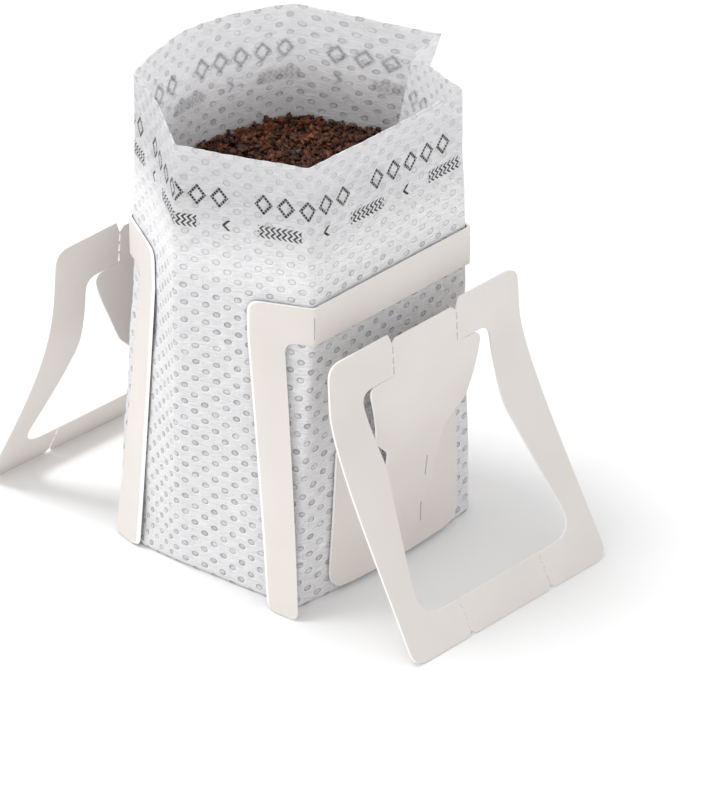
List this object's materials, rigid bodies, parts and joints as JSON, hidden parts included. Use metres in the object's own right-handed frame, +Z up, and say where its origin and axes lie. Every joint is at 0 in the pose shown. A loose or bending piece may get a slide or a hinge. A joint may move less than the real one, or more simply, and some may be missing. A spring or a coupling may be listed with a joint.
{
  "type": "drip coffee bag",
  "caption": "Opened single-serve drip coffee bag: a nonwoven pouch of ground coffee with folded card ears that hook over a cup's rim.",
  "frame": {"origin": "on the table, about under the middle of the bag", "axes": "+Z up, -Y out of the front card, +X to the right seen from the front"},
  "size_m": [0.0522, 0.0807, 0.074],
  "materials": {
    "nonwoven": "thin white embossed nonwoven",
    "coffee": "dry ground coffee",
    "card": "smooth uncoated white board"
  },
  "bodies": {
    "root": {"filter_bag": "nonwoven", "ground_coffee": "coffee", "front_stiffener_card": "card", "front_ear_card": "card", "rear_stiffener_card": "card", "rear_ear_card": "card"}
  },
  "joints": []
}
